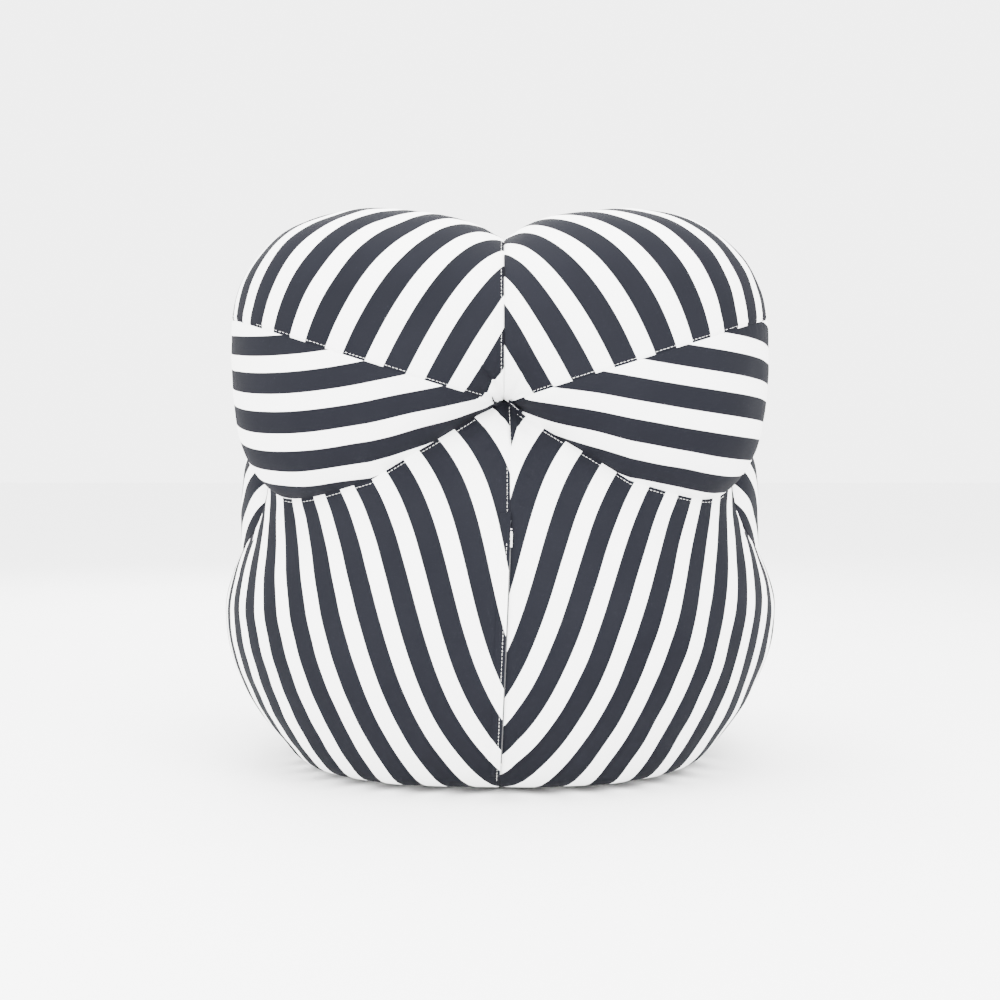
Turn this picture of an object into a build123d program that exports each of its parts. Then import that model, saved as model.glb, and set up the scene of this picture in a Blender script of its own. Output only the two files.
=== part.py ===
from build123d import *
import math
import os

os.makedirs("parts", exist_ok=True)

# Lounge chair, millimetres. +Z up, floor at Z = 0, X = 0 is the mid plane, the sitter faces -Y.
# The chair's left side is +X. The body is foam, under a removable cover sewn from shaped panels.

COVER_T = 2.0            # stretch cloth bonded to a thin wadding
FOAM_IN = 3.0            # the foam lies this far inside the cover's outer face
CREASE = 0.5             # free space where one covered mass meets another
SEW = 0.3                # half the space between two panels along their seam
BODY_Z0 = 10.0           # underside of the covered body, above the glides

# lower body: rear half (belly) and front half (tub that carries the seat)
BELLY_R = 519.0          # radius of the rear outline in the mid plane
BELLY_YC = -18.6         # centre of that outline
BELLY_ZC = 328.0
WIDE_Z = 284.0           # height of the widest place
WIDE_HALF = 501.0
WAIST_HALF = 436.0       # half width above the widest place
WAIST_RISE = 220.0       # height over which it narrows to that
FOOT_HALF = 365.5        # half width at the floor line
BELLY_TOP = 700.0
BELLY_POW = 2.45         # squareness of the plan outline
FRONT_HALF = 500.0
SEAT_TOP = 422.0
SEAT_SOFT = 125.0         # height over which the seat rounds over

# two rounded masses of the upper back
LOBE_XC = 212.5
LOBE_YC = 262.0
LOBE_ZC = 760.0
LOBE_OUT = 244.0
LOBE_IN = 308.0
LOBE_DEPTH = 245.0
LOBE_UP = 222.0
LOBE_DOWN = 292.0
LOBE_POW = 2.2
LOBE_PINCH = 0.605        # how far the underside rises towards the mid plane
LOBE_PINCH_POW = 1.13
LOBE_LOW_POW = 3.3       # the lower outer corner is squarer than the upper one
SEAM_Z0 = 650.0          # the seam between upper panel and band climbs outwards from here
SEAM_SLOPE = 0.317

# arms
ARM_XC = 357.0
ARM_ZC = 428.0
ARM_HALF_X = 122.0
ARM_HALF_Z = 232.0
ARM_POW = 2.8            # squareness of the arm's section
ARM_Y0 = -470.0
ARM_Y1 = 230.0

# base
BOARD_HALF_X = 255.0
BOARD_HALF_Y = 290.0
BOARD_T = 15.0
HEM_OPEN = 32.0          # width of the turned-under hem that holds to the board
STRIP_T = 2.0
GLIDE_R = 16.0
GLIDE_X = 165.0
GLIDE_Y = 195.0

# zip in the centre-back seam; it follows the rear outline and leans a little
ZIP_LEAN = -2.35
ZIP_X = -11.0            # the seam's place at the height of the outline's centre
ZIP_TOP = 12.2           # slider at rest, degrees above the horizontal through the outline's centre
ZIP_LOW = -30.0          # slider at the lower stop
TAPE_W = 13.0
TAPE_T = 0.7
CHAIN_HALF = 2.8
CHAIN_T = 1.3
SLIDER_LEN = 11.0


def signed_power(v, e):
    return math.copysign(abs(v) ** e, v)


def closed_face(points):
    steps = [i / len(points) for i in range(len(points) + 1)]
    edge = Edge.make_spline([Vector(*p) for p in points], periodic=True, parameters=steps)
    return Face(Wire([edge]))


def make_loft(faces):
    return Solid.make_loft([f.outer_wire() for f in faces])


def block(x0, x1, y0, y1, z0, z1):
    return Pos((x0 + x1) / 2, (y0 + y1) / 2, (z0 + z1) / 2) * Box(x1 - x0, y1 - y0, z1 - z0)


def ring(half_a0, half_a1, half_b0, half_b1, power, count=20):
    """Offsets (a, b) round a superellipse with its own half axis on each side."""
    out = []
    for i in range(count):
        t = 2 * math.pi * (i + 0.5) / count
        c = math.cos(t)
        s = math.sin(t)
        r = (abs(c) ** power + abs(s) ** power) ** (-1 / power)
        a = r * c * (half_a1 if c > 0 else half_a0)
        b = r * s * (half_b1 if s > 0 else half_b0)
        out.append((a, b))
    return out


def body_half_width(z):
    if z < WIDE_Z:
        u = (WIDE_Z - z) / (WIDE_Z - BODY_Z0)
        return FOOT_HALF + (WIDE_HALF - FOOT_HALF) * (1 - u ** 2)
    u = (z - WIDE_Z) / (BELLY_TOP - WIDE_Z)
    s = min(1.0, (z - WIDE_Z) / WAIST_RISE)
    waist = WIDE_HALF - (WIDE_HALF - WAIST_HALF) * s * s * (3 - 2 * s)
    return waist * math.sqrt(1 - u ** 7)


def belly_mass(inset):
    """Rear half of the lower body, climbing to a hidden top between the two back masses."""
    faces = []
    for z in (BODY_Z0 - 5, 35, 80, 140, 210, 285, 360, 435, 505, 570, 630, 668, 692):
        rear = BELLY_YC + math.sqrt(BELLY_R ** 2 - (z - BELLY_ZC) ** 2) - inset
        half = body_half_width(z) - inset
        pts = ring(rear, rear, half, half, BELLY_POW)
        faces.append(closed_face([(b, a, z) for a, b in pts]))
    whole = make_loft(faces)
    return whole & block(-600, 600, inset, 1000, BODY_Z0 + inset, BELLY_TOP - 12 - inset)


def tub_mass(inset, y_cut):
    """Front half of the lower body with the domed seat."""
    faces = []
    start = SEAT_TOP - SEAT_SOFT
    rise = [0.0, 0.35, 0.65, 0.86, 0.96, 0.996]
    for z in [BODY_Z0 - 5, 35, 80, 140, 210] + [start + SEAT_SOFT * r for r in rise]:
        u = max(0.0, (z - start) / SEAT_SOFT)
        shrink = (1 - u ** 2.6) ** (1 / 2.6)
        half = (body_half_width(min(z, WIDE_Z)) - inset) * (0.72 + 0.28 * shrink)
        front = (FRONT_HALF - 70 * (1 - min(z, WIDE_Z) / WIDE_Z) ** 2 - inset) * shrink
        pts = ring(front, front, half, half, BELLY_POW)
        faces.append(closed_face([(b, a, z) for a, b in pts]))
    whole = make_loft(faces)
    return whole & block(-600, 600, -1000, y_cut, BODY_Z0 + inset, SEAT_TOP - 0.5 - inset)


def lobe_section(x, inset):
    if x > LOBE_XC:
        t = (x - LOBE_XC) / (LOBE_OUT - inset)
        k = (1 - t ** LOBE_POW) ** (1 / LOBE_POW)
        depth = (LOBE_DEPTH - inset) * k
        down = (LOBE_DOWN - inset) * (1 - t ** LOBE_LOW_POW) ** (1 / LOBE_LOW_POW)
    else:
        t = (LOBE_XC - x) / LOBE_IN
        k = (1 - t ** LOBE_POW) ** (1 / LOBE_POW)
        depth = LOBE_DEPTH * k ** 0.45 - inset
        down = LOBE_DOWN * (1 - LOBE_PINCH * (1 - x / LOBE_XC) ** LOBE_PINCH_POW) - inset
    up = (LOBE_UP - inset if x > LOBE_XC else LOBE_UP) * k - (0 if x > LOBE_XC else inset)
    pts = ring(depth, depth, down, up, 2.3)
    return closed_face([(x, LOBE_YC + a, LOBE_ZC + b) for a, b in pts])


def lobe_mass(inset):
    """Left mass of the upper back, from the mid plane outwards."""
    reach = LOBE_OUT - inset
    levels = [0.25, 50, 105, 160, LOBE_XC]
    levels += [LOBE_XC + reach * math.sin(math.radians(a)) ** (2 / LOBE_POW) for a in (25, 47, 64, 77, 86)]
    return make_loft([lobe_section(x, inset) for x in levels])


def arm_mass(inset):
    """Left arm: a thick roll whose rear end runs into the back."""
    half_len = (ARM_Y1 - ARM_Y0) / 2
    mid = (ARM_Y1 + ARM_Y0) / 2
    faces = []
    for a in (-87, -75, -58, -36, -12, 12, 36, 58, 75, 87):
        s = math.sin(math.radians(a))
        y = mid + (half_len - inset) * signed_power(s, 2 / 3.0)
        k = abs(math.cos(math.radians(a))) ** (2 / 3.0)
        hx = (ARM_HALF_X - inset) * k
        hz = (ARM_HALF_Z - inset) * k
        pts = ring(hx, hx, hz, hz, ARM_POW)
        faces.append(closed_face([(ARM_XC + p, y, ARM_ZC + q) for p, q in pts]))
    return make_loft(faces)


def above_seam(shift):
    """Everything above the leaning seam plane, on the left."""
    x1 = 600.0
    z0 = SEAM_Z0 + shift
    pts = [(-20, z0 - 20 * SEAM_SLOPE), (x1, z0 + x1 * SEAM_SLOPE), (x1, 1200), (-20, 1200)]
    face = Plane.XZ * make_face(Polyline(*pts, close=True))
    return Pos(0, 700, 0) * extrude(face, 1400)


def leaning(shape):
    """Turns a shape built in the mid plane into the leaning zip plane."""
    return Pos(ZIP_X, 0, BELLY_ZC) * (Rot(0, ZIP_LEAN, 0) * (Pos(0, 0, -BELLY_ZC) * shape))


def arc_strip(profile, a0, a1):
    """Sweeps a profile of (x, height above the rear outline) between two angles of the outline."""
    pts = [(x, BELLY_R + h) for x, h in profile]
    face = make_face(Polyline(*pts, close=True))
    turned = Rot(a0, 0, 0) * face
    solid = revolve(turned, Axis.X, a1 - a0)
    return leaning(Pos(0, BELLY_YC, BELLY_ZC) * solid)


def at_zip(shape, angle):
    """Places a shape drawn with +Y outwards and +Z up the seam, with its foot on the rear outline."""
    placed = Rot(angle, 0, 0) * (Pos(0, BELLY_R, 0) * shape)
    return leaning(Pos(0, BELLY_YC, BELLY_ZC) * placed)


def save(shape, name):
    biggest = max(s.volume for s in shape.solids())
    solids = [s for s in shape.solids() if s.volume > 0.2 * biggest]
    out = solids[0] if len(solids) == 1 else Compound(children=solids)
    out.label = name
    export_step(out, f"parts/{name}.step")


def save_pair(shape, name):
    save(shape, name + "_left")
    save(mirror(shape, about=Plane.YZ), name + "_right")


belly = belly_mass(0)
belly_in = belly_mass(COVER_T)
belly_cut = belly_mass(-CREASE)
lobe = lobe_mass(0)
lobe_in = lobe_mass(COVER_T)
lobe_cut = lobe_mass(-CREASE)
tub = tub_mass(0, -CREASE)
tub_in = tub_mass(COVER_T, 10)
tub_cut = tub_mass(-CREASE, 0)
arm = arm_mass(0)
arm_in = arm_mass(COVER_T)

board_z0 = BODY_Z0 + COVER_T + STRIP_T
board_z1 = board_z0 + BOARD_T
board = block(-BOARD_HALF_X, BOARD_HALF_X, -BOARD_HALF_Y, BOARD_HALF_Y, board_z0, board_z1)
board = fillet(board.edges().filter_by(Axis.Z), 60)
hem_gap = block(-BOARD_HALF_X + HEM_OPEN, BOARD_HALF_X - HEM_OPEN, -BOARD_HALF_Y + HEM_OPEN,
                BOARD_HALF_Y - HEM_OPEN, 0, board_z0)
hem_gap = fillet(hem_gap.edges().filter_by(Axis.Z), 40)
pocket = Pos(0, 0, (BODY_Z0 + board_z1) / 2) * Box(2 * BOARD_HALF_X, 2 * BOARD_HALF_Y, board_z1 - BODY_Z0)
pocket = fillet(pocket.edges().filter_by(Axis.Z), 60)

# foam bodies
foam_lower = belly_mass(FOAM_IN) - pocket
save(foam_lower, "foam_lower_back")
foam_seat = tub_mass(FOAM_IN, -CREASE) - pocket
save(foam_seat, "foam_seat")
foam_lobe = lobe_mass(FOAM_IN) - belly_mass(-FOAM_IN)
save_pair(foam_lobe, "foam_upper_back")
arm_cutters = [belly_cut, lobe_cut, tub_cut]
foam_arm = arm_mass(FOAM_IN)
for cutter in arm_cutters:
    foam_arm = foam_arm - cutter
save_pair(foam_arm, "foam_arm")

# cover of the lower rear: two halves, sewn to the zip in the middle, and the part behind the sitter
belly_skin = belly - belly_in - hem_gap
rear_half = leaning(block(SEW, 700, COVER_T + SEW, 700, -50, 900))
rear_other = leaning(block(-700, -SEW, COVER_T + SEW, 700, -50, 900))
save(belly_skin & rear_half, "cover_lower_back_left")
save(belly_skin & rear_other, "cover_lower_back_right")
save(belly_skin & block(-500, 500, -1, COVER_T, SEAT_TOP - 40, 900), "cover_lumbar")

# cover of the upper back
lobe_skin = lobe - lobe_in - belly_cut
rear_side = block(-1, 700, LOBE_YC + SEW, 900, 300, 1200)
front_side = block(-1, 700, -300, LOBE_YC - SEW, 300, 1200)
upper = lobe_skin & above_seam(SEW)
save_pair(upper & rear_side, "cover_upper_back")
save_pair(upper & front_side, "cover_upper_front")
band = lobe_skin - above_seam(-SEW)
save_pair(band & rear_side, "cover_band")
save_pair(band & front_side, "cover_inner_back")

# cover of the seat and its front
tub_skin = tub - tub_in - hem_gap
save_pair(tub_skin & block(SEW, 700, -700, 0, -50, 255 - SEW), "cover_front")
save_pair(tub_skin & block(SEW, 700, -700, 0, 255 + SEW, 900), "cover_seat")

# cover of the arms
arm_skin = arm - arm_in
for cutter in arm_cutters:
    arm_skin = arm_skin - cutter
save_pair(arm_skin & block(ARM_XC + SEW, 700, -700, 700, 0, 900), "cover_arm_outer")
save_pair(arm_skin & block(0, ARM_XC - SEW, -700, 700, 0, 900), "cover_arm_inner")

# base board, grip strips, glides and screws
screw_spots = [(sx * GLIDE_X, sy * GLIDE_Y) for sx in (1, -1) for sy in (1, -1)]
screws = []
for x, y in screw_spots:
    shank = Pos(x, y, (3 + 26) / 2) * Cylinder(2.0, 23)
    head = Pos(x, y, 3.0) * Cylinder(4.2, 2.4)
    screws.append(shank + head)
for s in screws:
    board = board - s
save(board, "base_board")
names = ("glide_rear_left", "glide_front_left", "glide_rear_right", "glide_front_right")
for (x, y), name, screw in zip(screw_spots, names, screws):
    puck = Pos(x, y, board_z0 / 2) * Cylinder(GLIDE_R, board_z0)
    puck = fillet(puck.edges().group_by(Axis.Z)[0], 2.0)
    well = Pos(x, y, 1.0) * Cylinder(4.6, 2.0)
    save(puck - well - screw, name)
save(Compound(children=screws), "glide_screws")
strip_in_x = BOARD_HALF_X - HEM_OPEN
strip_in_y = BOARD_HALF_Y - HEM_OPEN
strip_z0 = BODY_Z0 + COVER_T
side_strip = block(strip_in_x + 4, strip_in_x + 26, -170, 170, strip_z0, board_z0)
save_pair(side_strip, "grip_strip_side")
end_strip = block(-130, 130, strip_in_y + 4, strip_in_y + 26, strip_z0, board_z0)
save(end_strip, "grip_strip_rear")
save(mirror(end_strip, about=Plane.XZ), "grip_strip_front")

# zip: tapes, chain halves, stops, lapped placket, thread tack
lift = 0.25
tape_top = lift + TAPE_T
tape = [(0.25, lift), (TAPE_W, lift), (TAPE_W, tape_top), (0.25, tape_top)]
save(arc_strip(tape, ZIP_LOW - 3, ZIP_TOP + 3), "zip_tape_left")
save(arc_strip([(-x, h) for x, h in reversed(tape)], ZIP_LOW - 3, ZIP_TOP + 3), "zip_tape_right")
half_slider = math.degrees(SLIDER_LEN / 2 / BELLY_R)
chain = [(0.15, tape_top), (CHAIN_HALF, tape_top), (CHAIN_HALF, tape_top + CHAIN_T), (0.15, tape_top + CHAIN_T)]
chain_low = ZIP_LOW - half_slider
chain_high = ZIP_TOP + half_slider
save(arc_strip(chain, chain_low, chain_high), "zip_chain_left")
save(arc_strip([(-x, h) for x, h in reversed(chain)], chain_low, chain_high), "zip_chain_right")
gap_deg = math.degrees(0.4 / BELLY_R)
stop = [(-4.0, tape_top), (4.0, tape_top), (4.0, tape_top + 2.2), (-4.0, tape_top + 2.2)]
save(arc_strip(stop, chain_high + gap_deg, chain_high + gap_deg + 0.35), "zip_top_stop")
save(arc_strip(stop, chain_low - gap_deg - 0.45, chain_low - gap_deg), "zip_bottom_stop")
flap = [(-0.6, 5.6), (8.6, 5.6), (12.6, 1.9), (17.0, 1.9), (17.0, 1.0), (12.2, 1.0), (8.2, 4.9), (-0.6, 4.9)]
save(arc_strip(flap, ZIP_LOW - 4.2, ZIP_TOP + 4.6), "zip_placket")
tack = [(-3.2, tape_top), (7.5, tape_top), (7.5, 3.4), (-3.2, 3.4)]
save(arc_strip(tack, chain_high + 0.7, chain_high + 0.9), "zip_thread_tack")

# slider: a channel over the chain, with a pin for the pull tab on its right half
slide_gap = 0.35
inner_x = CHAIN_HALF + slide_gap
inner_h = tape_top + CHAIN_T + slide_gap
roof = block(-4.6, 4.6, inner_h, inner_h + 1.2, -SLIDER_LEN / 2, SLIDER_LEN / 2)
wall = block(inner_x, 4.6, tape_top + slide_gap, inner_h, -SLIDER_LEN / 2, SLIDER_LEN / 2)
slider = roof + wall + mirror(wall, about=Plane.YZ)
roof_h = inner_h + 1.2
pin_h = roof_h + 1.6
lug = block(-1.9, -1.2, roof_h - 0.2, pin_h + 0.9, -1.4, 1.4)
slider = slider + lug + Pos(-2.85, 0, 0) * lug
pin = Pos(-2.975, pin_h, 0) * (Rot(0, 90, 0) * Cylinder(0.5, 2.9))
slider = slider + pin
save(at_zip(slider, ZIP_TOP), "zip_slider")

# pull tab: an eye round the pin and a flat tongue hanging down the seam
eye = Pos(-2.975, pin_h, 0) * (Rot(0, 90, 0) * Cylinder(1.15, 1.5))
tongue = block(-3.725, -2.225, pin_h - 0.45, pin_h + 0.45, -16.0, -0.6)
bore = Pos(-2.975, pin_h, 0) * (Rot(0, 90, 0) * Cylinder(0.56, 3))
pull = eye + tongue - bore
pull = pull + block(-4.6, -1.35, pin_h - 0.45, pin_h + 0.45, -17.0, -6.8)
save(at_zip(pull, ZIP_TOP), "zip_pull_tab")

# size label folded into the front seam of the hem, with no print on it
label = block(150.2, 185.0, -30, -10, BODY_Z0 - 1.0, BODY_Z0 - 0.2)
save(Pos(90, 0, 0) * label, "blank_label")
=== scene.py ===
import math

import bmesh
import bpy
import numpy as np
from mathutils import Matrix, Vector
from mathutils.kdtree import KDTree


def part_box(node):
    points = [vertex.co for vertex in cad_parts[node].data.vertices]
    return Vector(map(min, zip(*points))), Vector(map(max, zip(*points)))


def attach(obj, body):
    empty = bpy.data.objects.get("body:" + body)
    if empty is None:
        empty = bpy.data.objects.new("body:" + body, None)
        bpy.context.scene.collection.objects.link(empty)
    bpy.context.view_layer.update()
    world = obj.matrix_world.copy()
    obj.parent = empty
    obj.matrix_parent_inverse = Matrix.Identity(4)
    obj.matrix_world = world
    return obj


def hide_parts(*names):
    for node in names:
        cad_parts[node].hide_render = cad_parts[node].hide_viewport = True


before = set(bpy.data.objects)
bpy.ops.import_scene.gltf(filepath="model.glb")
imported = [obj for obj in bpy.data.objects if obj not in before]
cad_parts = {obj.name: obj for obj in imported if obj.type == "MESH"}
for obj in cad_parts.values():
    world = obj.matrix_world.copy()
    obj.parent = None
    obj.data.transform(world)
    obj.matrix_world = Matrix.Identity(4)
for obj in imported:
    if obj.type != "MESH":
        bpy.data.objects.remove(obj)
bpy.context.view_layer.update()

# ---------------------------------------------------------------------------------------------
# Sizes in metres, the same as in the CAD. +Z up, the chair's left side is +X, its rear faces +Y.
# ---------------------------------------------------------------------------------------------
BELLY_R, BELLY_YC, BELLY_ZC = 0.519, -0.0186, 0.328
BODY_Z0, WIDE_Z, BELLY_TOP = 0.010, 0.284, 0.700
WIDE_HALF, FOOT_HALF, WAIST_HALF, WAIST_RISE, WAIST_CLOSE = 0.501, 0.3655, 0.436, 0.220, 7.0
BELLY_POW, FRONT_HALF, SEAT_TOP, SEAT_SOFT, SEAT_POW = 2.45, 0.500, 0.422, 0.125, 2.6
LOBE_XC, LOBE_YC, LOBE_ZC = 0.2125, 0.262, 0.760
LOBE_OUT, LOBE_IN, LOBE_DEPTH, LOBE_UP, LOBE_DOWN = 0.244, 0.308, 0.245, 0.222, 0.292
LOBE_POW, LOBE_LOW_POW, LOBE_SEC, LOBE_PINCH, LOBE_PINCH_POW = 2.2, 3.3, 2.3, 0.605, 1.13
SEAM_Z0, SEAM_SLOPE = 0.650, 0.317
ARM_XC, ARM_ZC, ARM_HX, ARM_HZ, ARM_Y0, ARM_Y1, ARM_POW = 0.357, 0.428, 0.122, 0.232, -0.470, 0.230, 2.8
SIDES = ((1, "left"), (-1, "right"))
BOARD_GAP = 0.001         # clearance of the foam round the board
UPPER_SEAM_X = -0.0065    # the seam between the lobes sits a little to the right
ZIP_X, ZIP_LEAN, ZIP_TOP_Z = -0.011, -0.0410, 0.460
ZIP_LOW_ANGLE, ZIP_TOP_ANGLE = -33.0, 15.2
TUB_SPLIT_Z = 0.255
HEM_X, HEM_Y, HEM_ROUND = 0.225, 0.260, 0.022

CLOTH_T = 0.0022          # knit with its thin wadding
GROOVE, GROOVE_W = 0.0016, 0.0032
STEP = 0.0055             # size of a mesh cell in the middle of a panel
FOAM_INSET, FOAM_LIFT = 0.009, 2.8    # the foam starts this many insets above the foot
PITCH = 0.065             # one dark and one white stripe
EVEN_CELLS = 6            # reach of the smoothing of the band's lower edge
TIP_FIT, TIP_START, TIP_FADE = (0.415, 0.443), 0.430, 0.016    # where a lobe's tip gets calmer stripes
SLIDE_MAX, SLIDE_DAMP = 6, 1.002
HEM_ROWS, HEM_TURN = 14, (0.25, 0.5, 0.75)
FOLD_GAIN = 1.4           # how strongly the rear's creases are drawn
REAR_Y = 0.1              # behind this y the cover shows its rear creases


# ---------------------------------------------------------------------------------------------
# Shape of the masses
# ---------------------------------------------------------------------------------------------
def spow(v, e):
    return np.sign(v) * np.abs(v) ** e


def polar(t, p):
    """Radius of a unit superellipse at angle t."""
    return (np.abs(np.cos(t)) ** p + np.abs(np.sin(t)) ** p) ** (-1.0 / p)


def unit(v):
    return v / np.maximum(np.linalg.norm(v, axis=-1, keepdims=True), 1e-12)


def smooth(t):
    t = np.clip(t, 0, 1)
    return t * t * (3 - 2 * t)


def body_half_width(z):
    z = np.asarray(z, float)
    fall = np.clip((WIDE_Z - z) / (WIDE_Z - BODY_Z0), 0, 1)
    low = FOOT_HALF + (WIDE_HALF - FOOT_HALF) * (1 - fall ** 2)
    u = np.clip((z - WIDE_Z) / (BELLY_TOP - WIDE_Z), 0, 1)
    waist = WIDE_HALF - (WIDE_HALF - WAIST_HALF) * smooth((z - WIDE_Z) / WAIST_RISE)
    return np.where(z < WIDE_Z, low, waist * np.sqrt(1 - u ** WAIST_CLOSE))


def rear_depth(z):
    return BELLY_YC + np.sqrt(np.maximum(BELLY_R ** 2 - (np.asarray(z, float) - BELLY_ZC) ** 2, 0))


def belly_point(phi, z, inset=0.0):
    """phi = 0 at the rear, 90 degrees at the left side."""
    r = polar(phi, BELLY_POW)
    half, depth = body_half_width(z) - inset, rear_depth(z) - inset
    return np.stack([half * r * np.sin(phi), depth * r * np.cos(phi), z + 0 * phi], -1)


def in_belly(p):
    """Below zero inside the rear half of the lower body."""
    x, y, z = p[..., 0], p[..., 1], p[..., 2]
    w, d = np.maximum(body_half_width(z), 1e-4), np.maximum(rear_depth(z), 1e-4)
    f = ((np.abs(x) / w) ** BELLY_POW + (np.abs(y) / d) ** BELLY_POW) ** (1 / BELLY_POW) - 1
    f = np.where((z > BELLY_TOP) | (z < BODY_Z0), 1.0, f)
    return np.where(y < 0, np.maximum(f, -y * 4), f)


def lobe_radii(x):
    """Depth, height above and height below a lobe's centre line at a distance |x| from the mid plane."""
    x = np.abs(np.asarray(x, float))
    t = np.clip((x - LOBE_XC) / LOBE_OUT, 0, 1)
    k = (1 - t ** LOBE_POW) ** (1 / LOBE_POW)
    ki = (1 - np.clip((LOBE_XC - x) / LOBE_IN, 0, 1) ** LOBE_POW) ** (1 / LOBE_POW)
    out = x > LOBE_XC
    depth = np.where(out, LOBE_DEPTH * k, LOBE_DEPTH * ki ** 0.45)
    up = np.where(out, LOBE_UP * k, LOBE_UP * ki)
    inner = LOBE_DOWN * (1 - LOBE_PINCH * np.clip(1 - x / LOBE_XC, 0, 1) ** LOBE_PINCH_POW)
    down = np.where(out, LOBE_DOWN * (1 - t ** LOBE_LOW_POW) ** (1 / LOBE_LOW_POW), inner)
    return depth, up, down


def lobe_point(x, th, inset=0.0):
    """Left lobe: th = 0 at the rear, 90 degrees at the top, 180 in front."""
    depth, up, down = (np.maximum(v - inset, 0) for v in lobe_radii(x))
    r = polar(th, LOBE_SEC)
    s = np.sin(th)
    z = LOBE_ZC + np.where(s > 0, up, down) * r * s
    return np.stack([x + 0 * th, LOBE_YC + depth * r * np.cos(th), z], -1)


def in_lobe(p):
    x, y, z = p[..., 0], p[..., 1], p[..., 2]
    depth, up, down = (np.maximum(v, 1e-4) for v in lobe_radii(x))
    h = np.where(z > LOBE_ZC, up, down)
    f = (np.abs(y - LOBE_YC) / depth) ** LOBE_SEC + (np.abs(z - LOBE_ZC) / h) ** LOBE_SEC
    return np.where(np.abs(x) > LOBE_XC + LOBE_OUT, 1.0, f ** (1 / LOBE_SEC) - 1)


def arm_point(a, th, inset=0.0):
    """Left arm: a runs from -90 degrees at the front end to 90 at the rear; th = 0 outside, 90 on top."""
    y = (ARM_Y1 + ARM_Y0) / 2 + ((ARM_Y1 - ARM_Y0) / 2 - inset) * spow(np.sin(a), 2 / 3)
    k = np.abs(np.cos(a)) ** (2 / 3)
    r = polar(th, ARM_POW)
    x = ARM_XC + (ARM_HX - inset) * k * r * np.cos(th)
    return np.stack([x, y + 0 * th, ARM_ZC + (ARM_HZ - inset) * k * r * np.sin(th)], -1)


def in_arm(p):
    x, y, z = np.abs(p[..., 0]), p[..., 1], p[..., 2]
    t = np.clip(np.abs(y - (ARM_Y1 + ARM_Y0) / 2) / ((ARM_Y1 - ARM_Y0) / 2), 0, 0.99999)
    k = (1 - t ** 3) ** (1 / 3)
    f = (np.abs(x - ARM_XC) / (ARM_HX * k)) ** ARM_POW + (np.abs(z - ARM_ZC) / (ARM_HZ * k)) ** ARM_POW
    return np.where(t >= 0.99999, 1.0, f ** (1 / ARM_POW) - 1)


def tub_point(phi, level, inset=0.0):
    """phi = 0 at the front, 90 degrees at the left side; level is a height up to where the seat rounds
    over, and beyond that it goes on as SEAT_START + the share (0..1) of the way over the rounding."""
    over = np.clip(level - SEAT_START, 0, 1) * np.pi / 2
    shrink = np.cos(over) ** (2 / SEAT_POW)
    z = np.minimum(level, SEAT_START) + SEAT_SOFT * np.sin(over) ** (2 / SEAT_POW)
    low = np.minimum(z, WIDE_Z)
    half = (body_half_width(low) - inset) * (0.72 + 0.28 * shrink)
    front = (FRONT_HALF - 0.070 * (1 - low / WIDE_Z) ** 2 - inset) * shrink
    r = polar(phi, BELLY_POW)
    z = z - inset * np.sin(over) + 0 * phi
    return np.stack([half * r * np.sin(phi), -front * r * np.cos(phi), z], -1)


SEAT_START = SEAT_TOP - SEAT_SOFT


def rear_y(x, z):
    """The outermost surface seen from behind, at a place (x, z)."""
    w = np.maximum(body_half_width(z), 1e-4)
    belly = rear_depth(z) * np.clip(1 - (np.abs(x) / w) ** BELLY_POW, 0, 1) ** (1 / BELLY_POW)
    depth, up, down = (np.maximum(v, 1e-4) for v in lobe_radii(x))
    h = np.where(z > LOBE_ZC, up, down)
    flat = np.clip(1 - (np.abs(z - LOBE_ZC) / h) ** LOBE_SEC, 0, 1) ** (1 / LOBE_SEC)
    lobe = np.where(flat > 0, LOBE_YC + depth * flat, 0)
    return np.maximum(belly, lobe)


def seam_x(z):
    """Where the centre-back seam runs; below the pinch it leans a little."""
    return ZIP_X + ZIP_LEAN * (np.minimum(z, ZIP_TOP_Z) - BELLY_ZC)


# ---------------------------------------------------------------------------------------------
# Panels as grids of points: rows run across a panel, columns up it
# ---------------------------------------------------------------------------------------------
def first_hit(field, lo, hi, steps=160):
    """In each column, the first parameter between lo and hi where the field turns negative; else hi."""
    par = lo + (hi - lo) * np.linspace(0, 1, steps)[:, None]
    val = field(par)
    neg = val < 0
    neg[0] = False
    hit = neg.any(0)
    k = np.maximum(np.argmax(neg, 0), 1)
    cols = np.arange(val.shape[1])
    a, b, fa, fb = par[k - 1, cols], par[k, cols], val[k - 1, cols], val[k, cols]
    w = np.clip(fa / np.where(np.abs(fa - fb) < 1e-12, 1, fa - fb), 0, 1)
    return np.where(hit, a + (b - a) * w, hi + 0 * a)


def mirrored(points, side):
    points = points.copy()
    points[..., 0] *= side
    return points


def lower_back_grid(side, n=150, m=150, tuck=0.006):
    """From the centre-back seam (first row) to the side (last row), from the floor up to the crease."""
    phi = np.linspace(0, np.pi / 2, n)

    def lean(phi, z):
        start = np.arcsin(np.clip(side * seam_x(z) / np.maximum(body_half_width(z), 0.05), -1, 1))
        return phi + (1 - phi / (np.pi / 2)) * start

    def blocked(z):
        p = belly_point(lean(phi[None, :], z), z)
        return np.minimum(in_lobe(p), in_arm(p))

    top = first_hit(blocked, 0.2 + 0 * phi, 0.695 + 0 * phi)
    z = BODY_Z0 + (top + tuck - BODY_Z0)[:, None] * np.linspace(0, 1, m)[None, :]
    return mirrored(belly_point(lean(phi[:, None], z), z), side)


def lobe_seam(x, n=400):
    """Angle of the seam between the upper panel and the band, at each x on the rear of a lobe."""
    return first_hit(lambda th: SEAM_Z0 + SEAM_SLOPE * x[None, :] - lobe_point(x[None, :], th)[..., 2],
                     0 * x - np.pi / 2, 0 * x + np.pi / 2, n)


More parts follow.
